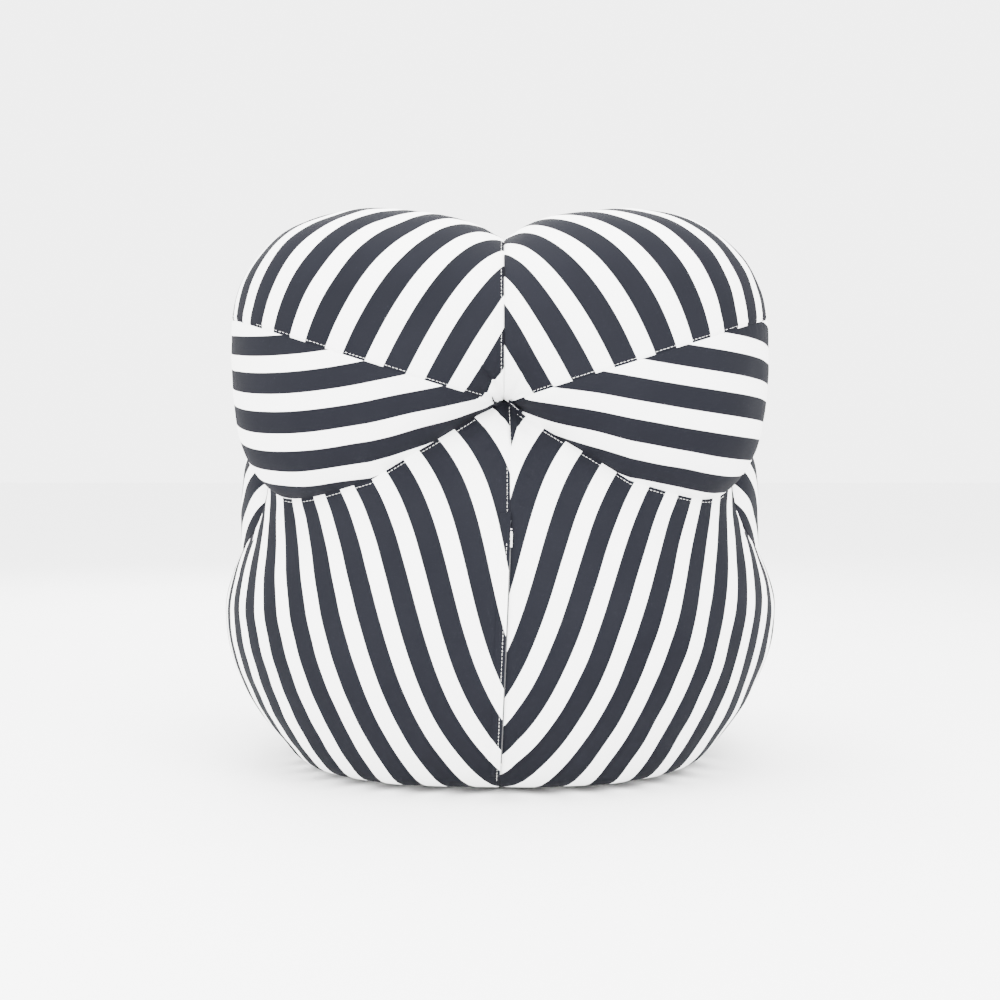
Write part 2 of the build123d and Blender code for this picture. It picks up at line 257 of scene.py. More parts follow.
def lobe_crease(x, seam, n=400):
    """Angle at which the rear of a lobe goes into the lower body or the arm."""
    def blocked(q):
        p = lobe_point(x[None, :], -q)
        return np.minimum(in_belly(p), in_arm(p))
    return -first_hit(blocked, -seam, 0 * x + np.pi / 2, n)


def x_levels(x0, x1, n):
    """x positions that crowd towards the lobe's tip, so that the cells stay even."""
    xs = np.linspace(x0, x1, 4000)
    turned = np.arcsin(np.clip((xs - LOBE_XC) / LOBE_OUT, 0, 1) ** (LOBE_POW / 2)) * LOBE_OUT
    s = np.where(xs > LOBE_XC, turned, xs - LOBE_XC)
    return np.interp(np.linspace(s[0], s[-1], n), s, xs)


def upper_end():
    """Where the seam under the upper panel meets the crest."""
    xs = np.linspace(0.2, LOBE_XC + LOBE_OUT - 1e-5, 3000)
    crest = LOBE_ZC + lobe_radii(xs)[1]
    return xs[np.argmax(crest - (SEAM_Z0 + SEAM_SLOPE * xs) < 0.0008)]


def between(lo, hi, m):
    return lo[:, None] + (hi - lo)[:, None] * np.linspace(0, 1, m)[None, :]


def upper_back_grid(side, n=120, m=90, front=False):
    x = x_levels(0.0, upper_end(), n)
    th = between(lobe_seam(x), 0 * x + np.pi / 2, m)
    if front:
        th = np.pi - th
    return mirrored(lobe_point(x[:, None], th), side)


def band_grid(side, n=120, m=70, tuck=0.0):
    x = x_levels(0.0, LOBE_XC + LOBE_OUT - 1e-6, n)
    seam = np.minimum(lobe_seam(x), np.pi / 2)
    low = np.maximum(lobe_crease(x, seam) - tuck, -np.pi / 2)
    windows = np.lib.stride_tricks.sliding_window_view
    low = windows(np.pad(low, EVEN_CELLS, mode="edge"), 2 * EVEN_CELLS + 1).min(1)
    low = windows(np.pad(low, EVEN_CELLS, mode="edge"), 2 * EVEN_CELLS + 1).mean(1)
    return mirrored(lobe_point(x[:, None], between(low, seam, m)), side)


def inner_back_grid(side, n=100, m=70):
    x = x_levels(0.0, LOBE_XC + LOBE_OUT - 1e-6, n)
    seam = np.minimum(lobe_seam(x), np.pi / 2)
    return mirrored(lobe_point(x[:, None], between(0 * x + 1.5 * np.pi, np.pi - seam, m)), side)


def front_grid(side, n=110, m=60):
    phi = np.linspace(0, np.pi / 2, n)
    level = np.linspace(BODY_Z0, TUB_SPLIT_Z, m)
    return mirrored(tub_point(phi[:, None], level[None, :]), side)


def seat_grid(side, n=110, m=90):
    phi = np.linspace(0, np.pi / 2, n)
    rise = np.linspace(TUB_SPLIT_Z, SEAT_START, 12)[:-1]
    level = np.concatenate([rise, SEAT_START + np.linspace(0, 1, m - len(rise))])
    return mirrored(tub_point(phi[:, None], level[None, :]), side)


def arm_grid(side, outer, n=100, m=80):
    a = np.linspace(-np.pi / 2, np.pi / 2, n)
    th = np.linspace(-np.pi / 2, np.pi / 2, m) + (0 if outer else np.pi)
    return mirrored(arm_point(a[:, None], th[None, :]), side)


def lumbar_grid(n=90, m=70):
    """The flat pad behind the sitter, swelling towards the middle."""
    t = np.linspace(-1, 1, n)[:, None] + 0 * np.linspace(-1, 1, m)[None, :]
    s = np.linspace(-1, 1, m)[None, :] + 0 * t
    x, z = 0.43 * t, 0.425 + 0.275 * s
    rho = (np.abs(t) ** 3.2 + np.abs(s) ** 3.2) ** (1 / 3.2)
    squeeze = np.where(rho > 1, 1 / np.maximum(rho, 1e-6), 1.0)
    crown = np.sqrt(np.clip(1 - np.minimum(rho, 1) ** 3, 0, 1))
    return np.stack([x * squeeze, 0.055 - 0.083 * crown, 0.425 + (z - 0.425) * squeeze], -1)


# ---------------------------------------------------------------------------------------------
# Cloth laid flat, so that straight printed stripes bend on the panel as they do when it is sewn
# ---------------------------------------------------------------------------------------------
def flatten(grid, rounds=60):
    """Lays a grid of 3-D points flat with as little stretch as it can: every triangle turns on its own,
    then one linear solve joins them again, and so on."""
    n, m = grid.shape[:2]
    idx = np.arange(n * m).reshape(n, m)
    a, b, c, d = idx[:-1, :-1].ravel(), idx[1:, :-1].ravel(), idx[1:, 1:].ravel(), idx[:-1, 1:].ravel()
    tris = np.concatenate([np.stack(t, 1) for t in ((a, b, c), (a, c, d), (a, b, d), (b, c, d))])
    points = grid.reshape(-1, 3)
    e1, e2 = (points[tris[:, k]] - points[tris[:, 0]] for k in (1, 2))
    l1 = np.linalg.norm(e1, axis=1)
    ok = (l1 > 1e-7) & (np.linalg.norm(np.cross(e1, e2), axis=1) > 1e-12)
    tris, e1, e2, l1 = tris[ok], e1[ok], e2[ok], l1[ok]
    u = e1 / l1[:, None]
    x2 = (e2 * u).sum(1)
    local = np.zeros((len(tris), 3, 2))
    local[:, 1, 0] = l1
    local[:, 2, 0] = x2
    local[:, 2, 1] = np.linalg.norm(e2 - x2[:, None] * u, axis=1)
    count = n * m
    lap = np.zeros((count, count))
    weight = np.zeros((len(tris), 3))
    for k in range(3):
        i, j = tris[:, (k + 1) % 3], tris[:, (k + 2) % 3]
        p, q = local[:, (k + 1) % 3] - local[:, k], local[:, (k + 2) % 3] - local[:, k]
        w = np.clip((p * q).sum(1) / (np.abs(p[:, 0] * q[:, 1] - p[:, 1] * q[:, 0]) + 1e-15), 0.02, 30)
        weight[:, k] = w
        for r, s, v in ((i, i, w), (j, j, w), (i, j, -w), (j, i, -w)):
            np.add.at(lap, (r, s), v)
    lap += 1e-9 * np.eye(count) * np.trace(lap) / count
    lap[0, 0] += 1.0
    inverse = np.linalg.inv(lap)
    along = np.concatenate([np.zeros((1, m)), np.cumsum(np.linalg.norm(np.diff(grid, axis=0), axis=2), 0)], 0)
    up = np.concatenate([np.zeros((n, 1)), np.cumsum(np.linalg.norm(np.diff(grid, axis=1), axis=2), 1)], 1)
    first = [np.median(along, 1)[:, None] + 0 * along, np.median(up, 0)[None, :] + 0 * up]
    flat = np.stack(first, 2).reshape(-1, 2)
    for _ in range(rounds):
        e = flat[tris]
        cov = np.zeros((len(tris), 2, 2))
        for k in range(3):
            i, j = (k + 1) % 3, (k + 2) % 3
            now, rest = (e[:, i] - e[:, j])[:, :, None], (local[:, i] - local[:, j])[:, None, :]
            cov += weight[:, k, None, None] * now * rest
        left, _s, right = np.linalg.svd(cov)
        left[:, :, 1] *= np.sign(np.linalg.det(left @ right))[:, None]
        turn = left @ right
        rhs = np.zeros((count, 2))
        for k in range(3):
            i, j = (k + 1) % 3, (k + 2) % 3
            f = weight[:, k, None] * np.einsum("tij,tj->ti", turn, local[:, i] - local[:, j])
            np.add.at(rhs, tris[:, i], f)
            np.add.at(rhs, tris[:, j], -f)
        rhs[0] += flat[0]
        flat = inverse @ rhs
    return flat.reshape(n, m, 2)


def resample(grid, tu, tv):
    """Smooth resampling of a grid of vectors at shares tu down the rows and tv along the columns."""
    def along(values, share):
        q = values.shape[0]
        t = np.clip(share, 0, 1) * (q - 1)
        i = np.clip(t.astype(int), 0, q - 2)
        f = (t - i).reshape(-1, *([1] * (values.ndim - 1)))
        p1, p2 = values[i], values[i + 1]
        p0 = np.where((i > 0).reshape(f.shape), values[np.maximum(i - 1, 0)], 2 * p1 - p2)
        p3 = np.where((i + 2 < q).reshape(f.shape), values[np.minimum(i + 2, q - 1)], 2 * p2 - p1)
        cubic = 2 * p0 - 5 * p1 + 4 * p2 - p3 + f * (3 * (p1 - p2) + p3 - p0)
        return p1 + 0.5 * f * (p2 - p0 + f * cubic)
    rows = along(grid, tu)
    return np.swapaxes(along(np.swapaxes(rows, 0, 1), tv), 0, 1)


def slide(flat, grid, place):
    """How far each flat point moves, to first order, when its place on the surface moves to the grid's
    own point."""
    gu, gv = np.gradient(place, axis=0), np.gradient(place, axis=1)
    uu, uv, vv = (gu * gu).sum(-1), (gu * gv).sum(-1), (gv * gv).sum(-1)
    eu, ev = ((grid - place) * gu).sum(-1), ((grid - place) * gv).sum(-1)
    det = SLIDE_DAMP * uu * vv - uv * uv + 1e-18
    cells = np.stack([eu * vv - ev * uv, ev * uu - eu * uv]) / det
    a, b = np.clip(cells, -SLIDE_MAX, SLIDE_MAX)[..., None]
    return a * np.gradient(flat, axis=0) + b * np.gradient(flat, axis=1)


def stripe_coordinates(grid, cut, coarse=(26, 20)):
    """The place of every grid point on the striped cloth: x counts stripe pairs, y runs along them.
    cut is (angle, pitch, start, (centre), bends): the angle that the panel is cut at on the cloth, and how
    the stretch of the knit bows its stripes (second-order and third-order terms)."""
    angle, pitch, start, centre, bends = cut
    n, m = grid.shape[:2]
    sparse = resample(grid, np.linspace(0, 1, coarse[0]), np.linspace(0, 1, coarse[1]))
    flat, place = (resample(g, np.linspace(0, 1, n), np.linspace(0, 1, m)) for g in (flatten(sparse), sparse))
    flat = flat + slide(flat, grid, place)
    u, v = flat[..., 0] - centre[0], flat[..., 1] - centre[1]
    ca, sa = math.cos(math.radians(angle)), math.sin(math.radians(angle))
    terms = (u * u, v * v, u * v, u ** 3, v ** 3, u * u * v, u * v * v)
    across = (u * ca + v * sa) / pitch + start + sum(b * t for b, t in zip(bends, terms))
    return np.stack([across, (v * ca - u * sa) / pitch], -1)


def calm_tip(grid, cloth):
    """Lets the stripes run on smoothly over a lobe's tip, where the rows of its grid shrink to a point."""
    reach, y, z = np.abs(grid[..., 0]), grid[..., 1] - LOBE_YC, grid[..., 2] - LOBE_ZC
    ring = (reach > TIP_FIT[0]) & (reach < TIP_FIT[1])
    terms = np.stack([1 + 0 * y, y, z, y * y, y * z, z * z], -1)
    fit = np.linalg.lstsq(terms[ring], cloth[ring], rcond=None)[0]
    return cloth + (terms @ fit - cloth) * smooth((reach - TIP_START) / TIP_FADE)[..., None]


# ---------------------------------------------------------------------------------------------
# From a grid to a sewn panel
# ---------------------------------------------------------------------------------------------
def grid_normals(grid, centre):
    """Unit normals that point away from centre."""
    n = np.cross(np.gradient(grid, axis=0), np.gradient(grid, axis=1))
    size = np.linalg.norm(n, axis=-1)
    for border, inner in ((0, 1), (-1, -2)):
        if size[border].max() < 1e-9:
            n[border] = unit(n[inner]).mean(0)
    n = unit(n)
    return n if (n * (grid - centre)).sum() > 0 else -n


def shares(length, start_seam, end_seam):
    """Positions along a length, as shares of it, close together near the seams."""
    near = np.array([0, 0.0009, 0.0019, 0.0031, 0.0046, 0.0066, 0.0092, 0.0126])
    head = near if start_seam else np.array([0.0])
    tail = length - near[::-1] if end_seam else np.array([length])
    count = max(2, int(round((tail[0] - head[-1]) / STEP)))
    middle = np.linspace(head[-1], tail[0], count + 1)[1:-1]
    return np.concatenate([head, middle, tail]) / length


def arc_lengths(grid, axis):
    steps = np.linalg.norm(np.diff(grid, axis=axis), axis=2)
    zero = np.zeros_like(np.take(steps, [0], axis))
    return np.concatenate([zero, np.cumsum(steps, axis)], axis)


def ripple(s, seed, waves=(0.009, 0.0137, 0.0231)):
    """An uneven gathering along a seam, between about -1 and 1."""
    r = np.random.default_rng(seed)
    return sum(np.sin(2 * np.pi * s / w + r.uniform(0, 6.28)) for w in waves) / 2.0


def soft_lumps(p, seed, waves=(0.21, 0.13, 0.085, 0.06), size=0.0007):
    """Slow unevenness of foam under cloth."""
    r = np.random.default_rng(seed)
    out = np.zeros(p.shape[:-1])
    for w in waves:
        for _ in range(3):
            d = unit(r.normal(size=3))
            out += size * (w / 0.1) * np.sin(2 * np.pi * (p @ d) / w + r.uniform(0, 6.28)) / 2
    return out


def fold_line(p, a, b, depth, width):
    """A crease from a to b, both (x, z) on the rear, fading out at its ends."""
    a, b = np.array(a), np.array(b)
    q = np.stack([p[..., 0], p[..., 2]], -1) - a
    along = b - a
    t = (q @ along) / (along @ along)
    off = np.linalg.norm(q - np.clip(t, 0, 1)[..., None] * along, axis=-1)
    side = np.sign(q[..., 0] * along[1] - q[..., 1] * along[0])
    fade = smooth(1.4 - 1.4 * np.abs(2 * np.clip(t, -1, 2) - 1) ** 3)
    ridge = 0.45 * np.exp(-((off - 1.3 * width) / width) ** 2) * (side > 0)
    return depth * fade * (ridge - np.exp(-(off / width) ** 2)) * (p[..., 1] > REAR_Y)


# Creases of the rear in millimetres: from (x, z) to (x, z), then depth and width.
FOLDS = (
    (-28, 497, -56, 486, 2.4, 2.2), (30, 706, 8, 676, 3, 3), (-10, 634, -60, 600, 2, 3),
    (-14, 600, -70, 586, 1.3, 2.2), (-16, 572, -82, 566, 1.2, 2), (-18, 548, -70, 534, 1.4, 2),
    (-14, 520, -48, 510, 1.2, 1.8), (-20, 466, -60, 470, 1, 1.8), (12, 628, 60, 596, 1.4, 3),
    (4, 596, 44, 560, 1, 2.6), (-30, 700, -12, 664, 1.8, 2.8), (40, 672, 14, 662, 1.6, 2.4),
    (-46, 668, -14, 660, 1.6, 2.4), (52, 724, 20, 700, 1.2, 2.6), (14, 80, -2, 74, 1, 1.4),
)


def rear_folds(p):
    """The creases that a worn cover shows from behind: at the pinch, beside the zip, across the back."""
    x, z = p[..., 0], p[..., 2]
    out = 0 * x
    for x0, z0, x1, z1, depth, width in 0.001 * np.array(FOLDS):
        out = out + fold_line(p, (x0, z0), (x1, z1), depth, width)
    for level, reach in ((0.342, 0.34), (0.262, 0.38)):
        wave = level + 0.0015 * np.sin(x / 0.05)
        out = out - 0.00035 * np.exp(-((z - wave) / 0.0022) ** 2) * smooth((reach - np.abs(x)) / 0.08)
    spread = np.hypot(x + 0.004, z - 0.652)
    angle = np.arctan2(z - 0.652, x + 0.004)
    out = out + 0.0011 * np.sin(angle * 11 + 1.5 * np.sin(angle * 3)) * np.exp(-(spread / 0.055) ** 2) \
        * smooth(spread / 0.02)
    return FOLD_GAIN * out * (p[..., 1] > REAR_Y)


class Panel:
    """One cut piece of the cover. seams names its sewn borders among first, last, low and high."""

    def __init__(self, name, node, grid, cut, centre, seams, hem=False, fill=0.9):
        self.name, self.node, self.seams, self.hem, self.fill = name, node, seams, hem, fill
        self.centre = np.array(centre)
        cloth = stripe_coordinates(grid, cut)
        if "_band_" in name or "_inner_back_" in name:
            cloth = calm_tip(grid, cloth)
        if "_upper_" in name:
            cloth[..., 0] = np.maximum(cloth[..., 0], LAST_WHITE[name.split("_")[-1]])
        across = np.median(arc_lengths(grid, 0)[-1])
        up = np.median(arc_lengths(grid, 1)[:, -1])
        tu = shares(max(across, 0.1), "first" in seams, "last" in seams)
        tv = shares(max(up, 0.06), "low" in seams, "high" in seams)
        self.points = resample(grid, tu, tv)
        self.cloth = resample(cloth, tu, tv)

    def border_distances(self):
        rows, cols = arc_lengths(self.points, 0), arc_lengths(self.points, 1)
        return {"first": (rows, cols), "last": (rows[-1:] - rows, cols),
                "low": (cols, rows), "high": (cols[:, -1:] - cols, rows)}

    def shaped(self):
        """The outer face with its seam hollows, gathers and folds, and the normals it moved along."""
        p = self.points
        normal = grid_normals(p, self.centre)
        if "first" in self.seams:
            normal[0, :, 0] = 0
            normal = unit(normal)
        lift = np.zeros(p.shape[:2])
        near_border = np.ones(p.shape[:2])
        for k, (side, (off, along)) in enumerate(self.border_distances().items()):
            if side in self.seams:
                lift = lift - GROOVE * np.exp(-(off / GROOVE_W) ** 1.4)
                lift = lift + 0.0008 * np.exp(-(off / 0.013) ** 1.5) * smooth(off / 0.003) \
                    * ripple(along + 0.03 * off, sum(map(ord, self.name)) + k)
            near_border = near_border * smooth((off - 0.016) / 0.025)
        lift = lift + near_border * soft_lumps(p, 11)
        nearest = np.minimum.reduce([off for off, _ in self.border_distances().values()])
        lift = lift + smooth(nearest / 0.004) * rear_folds(p)
        outer = p + lift[..., None] * normal
        if self.node.split("_")[1] in ("upper", "band", "inner"):
            x, z = outer[..., 0], outer[..., 2]
            outer[..., 0] += UPPER_SEAM_X * np.exp(-(x / 0.05) ** 2) * smooth((z - 0.60) / 0.06)
        return outer, normal

    def with_hem(self, outer, normal):
        """Adds the turned-under hem along the low border."""
        keep = int(np.argmax(np.median(self.points[..., 2], 0) > BODY_Z0 + HEM_ROUND))
        edge = outer[:, keep]
        flat_out = unit(np.concatenate([normal[:, 0, :2], 0 * normal[:, 0, :1]], 1))
        phi = np.linspace(0, np.pi / 2, len(edge))
        r = polar(phi, 6.0)
        inward = np.stack([np.sign(self.points[-1, 0, 0]) * HEM_X * r * np.sin(phi),
                           np.sign(self.points[..., 1].mean()) * HEM_Y * r * np.cos(phi),
                           0 * phi + BODY_Z0 + 0.0005], 1)
        slope = unit(edge - outer[:, keep + 2])
        drop = (edge[:, 2:] - BODY_Z0 - 0.0004) / np.maximum(-slope[:, 2:], 0.3)
        corner = edge + slope * drop
        corner[:, 2] = BODY_Z0 + 0.0004
        start = corner - flat_out * 0.8 * drop
        columns = [inward + (start - inward) * t for t in np.linspace(0, 1, HEM_ROWS)]
        for t in HEM_TURN:
            columns.append((1 - t) ** 2 * start + 2 * t * (1 - t) * corner + t * t * edge)
        hem = np.stack(columns, 1)
        up = arc_lengths(self.points, 1)
        step = (self.cloth[:, keep + 3] - self.cloth[:, keep]) \
            / np.maximum(up[:, keep + 3] - up[:, keep], 1e-4)[:, None]
        back = arc_lengths(np.concatenate([hem, outer[:, keep:keep + 1]], 1), 1)
        back = back[:, -1:] - back[:, :-1]
        cloth = self.cloth[:, keep][:, None] - step[:, None] * back[..., None]
        down = np.zeros_like(hem)
        down[..., 2] = -1
        tilt = np.concatenate([np.zeros(HEM_ROWS), np.sin(np.radians([22, 45, 68]))])
        hem_normal = unit(flat_out[:, None] * tilt[None, :, None] + down * (1 - tilt)[None, :, None])
        return (np.concatenate([hem, outer[:, keep:]], 1), np.concatenate([hem_normal, normal[:, keep:]], 1),
                np.concatenate([cloth, self.cloth[:, keep:]], 1))

    def build(self):
        outer, normal = self.shaped()
        cloth = self.cloth
        if self.hem:
            outer, normal, cloth = self.with_hem(outer, normal)
        rise = zip_rise(outer) if self.node.startswith("cover_lower_back") else np.zeros(outer.shape[:2])
        outer = outer + rise[..., None] * normal
        self.outer = outer
        thick = CLOTH_T - 0.0009 * smooth(rise / 0.002)
        inner = outer - thick[..., None] * normal
        return shell(self.name, outer, inner, cloth)


def zip_rise(p):
    """How far the cloth stands over the zip's tapes."""
    off = np.abs(p[..., 0] - seam_x(p[..., 2]))
    angle = np.degrees(np.arctan2(p[..., 2] - BELLY_ZC, p[..., 1] - BELLY_YC))
    ends = smooth((angle - ZIP_LOW_ANGLE + 1.5) / 1.5) * smooth((ZIP_TOP_ANGLE + 1.5 - angle) / 1.5)
    return 0.0022 * smooth((0.026 - off) / 0.010) * ends * (p[..., 1] > 0.2)


# ---------------------------------------------------------------------------------------------
# Meshes
# ---------------------------------------------------------------------------------------------
def add_mesh(name, verts, faces, material=None, cloth=None, weld=0.0):
    mesh = bpy.data.meshes.new(name)
    mesh.from_pydata([tuple(map(float, v)) for v in verts], [], [tuple(map(int, f)) for f in faces])
    obj = bpy.data.objects.new(name, mesh)
    bpy.context.scene.collection.objects.link(obj)
    if cloth is not None:
        layer = mesh.uv_layers.new(name="cloth")
        corner = np.zeros(len(mesh.loops), np.int32)
        mesh.loops.foreach_get("vertex_index", corner)
        layer.data.foreach_set("uv", np.asarray(cloth, np.float32)[corner].ravel())
    tidy_mesh(mesh, weld)
    if material:
        mesh.materials.append(material)
    return obj


def tidy_mesh(mesh, weld):
    bm = bmesh.new()
    bm.from_mesh(mesh)
    if weld:
        bmesh.ops.remove_doubles(bm, verts=bm.verts, dist=weld)
        bmesh.ops.dissolve_degenerate(bm, dist=1e-6, edges=bm.edges)
    bmesh.ops.recalc_face_normals(bm, faces=bm.faces)
    for f in bm.faces:
        f.smooth = True
    bm.to_mesh(mesh)
    bm.free()


def grid_faces(n, m, base=0, flip=False):
    i, j = np.meshgrid(np.arange(n - 1), np.arange(m - 1), indexing="ij")
    k = i * m + j
    quad = np.stack([k, k + m, k + m + 1, k + 1], -1).reshape(-1, 4) + base
    return quad[:, ::-1] if flip else quad


def shell(name, outer, inner, cloth):
    """A closed sheet between two grids of the same size."""
    n, m = outer.shape[:2]
    idx = np.arange(n * m).reshape(n, m)
    ring = np.concatenate([idx[:, 0], idx[-1, 1:], idx[-2::-1, -1], idx[0, -2:0:-1]])
    nxt = np.roll(ring, -1)
    rim = np.stack([nxt, ring, ring + n * m, nxt + n * m], 1)
    faces = np.concatenate([grid_faces(n, m), grid_faces(n, m, n * m, True), rim])
    verts = np.concatenate([outer.reshape(-1, 3), inner.reshape(-1, 3)])
    uv = np.concatenate([cloth.reshape(-1, 2)] * 2)
    return add_mesh(name, verts, faces, cloth=uv, weld=2e-5)


def tube_faces(k, n):
    """Faces of a tube of k rings of n points; the two points that follow them close its ends."""
    faces = [(i * n + j, i * n + (j + 1) % n, (i + 1) * n + (j + 1) % n, (i + 1) * n + j)
             for i in range(k - 1) for j in range(n)]
    for j in range(n):
        after = (j + 1) % n
        faces += [(j, after, k * n), ((k - 1) * n + after, (k - 1) * n + j, k * n + 1)]
    return faces


def closed_loft(name, rings):
    """A closed body through rings of points; a fan closes each end."""
    rings = np.asarray(rings)
    verts = np.concatenate([rings.reshape(-1, 3), rings[0].mean(0)[None], rings[-1].mean(0)[None]])
    return add_mesh(name, verts, tube_faces(*rings.shape[:2]), weld=1e-5)


def apply_modifiers(obj):
    graph = bpy.context.evaluated_depsgraph_get()
    mesh = bpy.data.meshes.new_from_object(obj.evaluated_get(graph))
    obj.modifiers.clear()
    obj.data = mesh


def cut_away(obj, cutters):
    for cutter in cutters:
        mod = obj.modifiers.new("cut", "BOOLEAN")
        mod.operation, mod.solver, mod.object = "DIFFERENCE", "EXACT", cutter
    apply_modifiers(obj)


# ---------------------------------------------------------------------------------------------
# Materials
# ---------------------------------------------------------------------------------------------
class Nodes:
    """Short-hand for building a material's node tree."""

    def __init__(self, name, roughness=0.7):
        self.mat = bpy.data.materials.new(name)
        self.mat.use_nodes = True
        self.tree = self.mat.node_tree
        self.shader = self.tree.nodes["Principled BSDF"]
        self.shader.inputs["Roughness"].default_value = roughness

    def add(self, kind, values=None, **settings):
        node = self.tree.nodes.new("ShaderNode" + kind)
        for key, value in settings.items():
            setattr(node, key, value)
        for key, value in (values or {}).items():
            self.put(node.inputs[key], value)
        return node

    def put(self, socket, value):
        if isinstance(value, bpy.types.NodeSocket):
            self.tree.links.new(value, socket)
        else:
            socket.default_value = value

    def math(self, operation, a, b=0.0, c=0.0):
        return self.add("Math", {0: a, 1: b, 2: c}, operation=operation).outputs[0]

    def ramp_between(self, value, low, high):
        node = self.add("MapRange", {"Value": value, "From Min": low, "From Max": high},
                        interpolation_type="SMOOTHSTEP")
        return node.outputs["Result"]

    def mix(self, factor, a, b):
        node = self.add("Mix", data_type="RGBA")
        self.put(node.inputs[0], factor)
        self.put(node.inputs[6], a)
        self.put(node.inputs[7], b)
        return node.outputs[2]

    def noise(self, scale, detail=2.0, vector=None, roughness=0.5):
        node = self.add("TexNoise", {"Scale": scale, "Detail": detail, "Roughness": roughness})
        self.put(node.inputs["Vector"], vector or self.place())
        return node.outputs["Fac"]

    def place(self):
        return self.add("TexCoord").outputs["Object"]

    def bump(self, height, strength, distance):
        node = self.add("Bump", {"Height": height, "Strength": strength, "Distance": distance})
        self.tree.links.new(node.outputs["Normal"], self.shader.inputs["Normal"])

    def set(self, name, value):
        self.put(self.shader.inputs[name], value)

    def times(self, a, b):
        return self.math("MULTIPLY", a, b)

    def plus(self, a, b):
        return self.math("ADD", a, b)

    def wave(self, value, period):
        return self.math("SINE", self.times(value, 2 * math.pi / period))

    def cells(self, scale):
        return self.add("TexVoronoi", {"Scale": scale, "Vector": self.place()}).outputs["Distance"]

    def axis(self, name):
        return self.add("SeparateXYZ", {"Vector": self.place()}).outputs[name]


STRIPE_EDGE = (0.219, 0.231)    # where white turns dark, in stripe pairs from the white's middle
DARK = (0.0040, 0.0042, 0.0058, 1)
DARK_WORN = (0.0085, 0.0090, 0.0120, 1)
WHITE = (0.90, 0.90, 0.90, 1)
WHITE_WARM = (0.86, 0.86, 0.85, 1)


def striped_material():
    """Knitted cloth: stripes from the cloth's own coordinates, with ribs, loops and a little fuzz."""
    k = Nodes("striped_cloth", 0.86)
    uv = k.add("UVMap", uv_map="cloth").outputs["UV"]
    x, y = (k.add("SeparateXYZ", {"Vector": uv}).outputs[name] for name in "XY")
    wander = k.times(k.math("SUBTRACT", k.noise(900.0, 1.0), 0.5), 0.006)
    slow = k.times(k.math("SUBTRACT", k.noise(9.0, 1.0), 0.5), 0.006)
    wave = k.math("PINGPONG", k.plus(k.plus(x, wander), slow), 0.5)
    dark = k.ramp_between(wave, *STRIPE_EDGE)
    tone = k.noise(7.0, 3.0)
    fleck = k.noise(1400.0, 2.0)
    worn = k.plus(k.times(tone, 0.6), k.times(fleck, 0.5))
    k.set("Base Color", k.mix(dark, k.mix(tone, WHITE, WHITE_WARM), k.mix(worn, DARK, DARK_WORN)))
    wale = k.wave(x, 0.0013 / PITCH)
    course = k.math("SINE", k.plus(k.times(y, 2 * math.pi * PITCH / 0.0011),
                                   k.times(wale, 1.2)))
    loops = k.plus(k.times(wale, 0.5), k.times(course, 0.3))
    height = k.plus(k.times(loops, 0.5), k.times(k.noise(420.0, 3.0), 1.2))
    k.bump(height, 0.35, 0.00035)
    k.set("Roughness", k.plus(0.74, k.times(fleck, 0.22)))
    k.set("Sheen Weight", 0.01)
    k.set("Sheen Roughness", 0.45)
    k.set("Specular IOR Level", 0.03)
    return k.mat


def foam_material():
    """Open-cell upholstery foam."""
    k = Nodes("foam", 0.95)
    tone = k.noise(9.0, 3.0)
    k.set("Base Color", k.mix(tone, (0.78, 0.70, 0.50, 1), (0.70, 0.60, 0.38, 1)))
    k.bump(k.cells(900.0), 0.6, 0.0006)
    k.set("Specular IOR Level", 0.15)
    return k.mat


def plywood_material():
    k = Nodes("plywood", 0.55)
    stretched = k.add("Mapping", {"Vector": k.place(), "Scale": (22.0, 3.0, 260.0)}).outputs["Vector"]
    grain = k.noise(1.0, 6.0, stretched, 0.65)
    plies = k.math("PINGPONG", k.times(k.axis("Z"), 1 / 0.0030), 0.5)
    layer = k.ramp_between(plies, 0.22, 0.28)
    pale = k.mix(grain, (0.62, 0.44, 0.25, 1), (0.47, 0.30, 0.15, 1))
    k.set("Base Color", k.mix(k.times(layer, 0.35), pale, (0.30, 0.18, 0.09, 1)))
    k.bump(grain, 0.3, 0.0004)
    return k.mat


def plastic_material():
    k = Nodes("glide_plastic", 0.42)
    grit = k.noise(1600.0, 2.0)
    scuff = k.noise(60.0, 5.0)
    k.set("Base Color", k.mix(scuff, (0.014, 0.014, 0.015, 1), (0.035, 0.034, 0.033, 1)))
    k.set("Roughness", k.plus(0.32, k.times(scuff, 0.3)))
    k.bump(grit, 0.25, 0.0002)
    return k.mat


def metal_material(name, base, rough):
    k = Nodes(name, rough)
    k.set("Metallic", 1.0)
    drawn_out = k.add("Mapping", {"Vector": k.place(), "Scale": (2500.0, 2500.0, 200.0)}).outputs[0]
    brushed = k.noise(1.0, 3.0, drawn_out)
    worn = k.noise(180.0, 4.0)
    k.set("Base Color", k.mix(worn, base, tuple(0.72 * c for c in base[:3]) + (1,)))
    k.set("Roughness", k.plus(rough - 0.08, k.times(brushed, 0.18)))
    k.bump(brushed, 0.15, 0.00008)
    return k.mat


def hook_tape_material():
    k = Nodes("grip_tape", 0.8)
    loops = k.cells(700.0)
    k.set("Base Color", k.mix(loops, (0.010, 0.010, 0.011, 1), (0.055, 0.055, 0.060, 1)))
    k.bump(loops, 0.8, 0.0007)
    return k.mat


